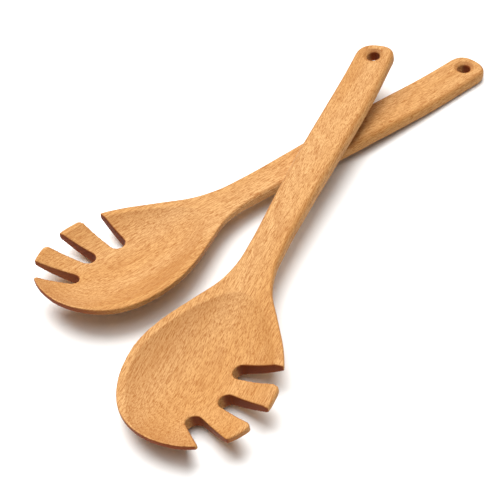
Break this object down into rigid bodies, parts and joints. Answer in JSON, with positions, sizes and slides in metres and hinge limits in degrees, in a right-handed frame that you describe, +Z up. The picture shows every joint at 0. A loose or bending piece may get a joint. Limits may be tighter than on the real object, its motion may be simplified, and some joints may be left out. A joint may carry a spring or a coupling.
{
  "type": "pair of salad servers",
  "caption": "Pair of mirror-image solid wooden salad servers lying crossed: flat handles with a hang hole and shallow dished bowls with fanned slots open through one side of the rim.",
  "frame": {"origin": "centre of the pair's footprint on the table top it lies on", "axes": "+Z up from the table; +Y from the bowls towards the handle ends, along the pair's longest extent; +X to the right when the bowls are towards the viewer"},
  "size_m": [0.2447, 0.2894, 0.0253],
  "materials": {
    "beech_lower": "sanded and oiled beech, satin",
    "beech_upper": "sanded and oiled beech, satin"
  },
  "bodies": {
    "lower": {"lower_server": "beech_lower"},
    "upper": {"upper_server": "beech_upper"}
  },
  "joints": [
    {"name": "upper_lift_off", "type": "slide", "parent": "lower", "child": "upper", "axis": [0, 0, 1], "range_m": [0, 0.06]}
  ]
}
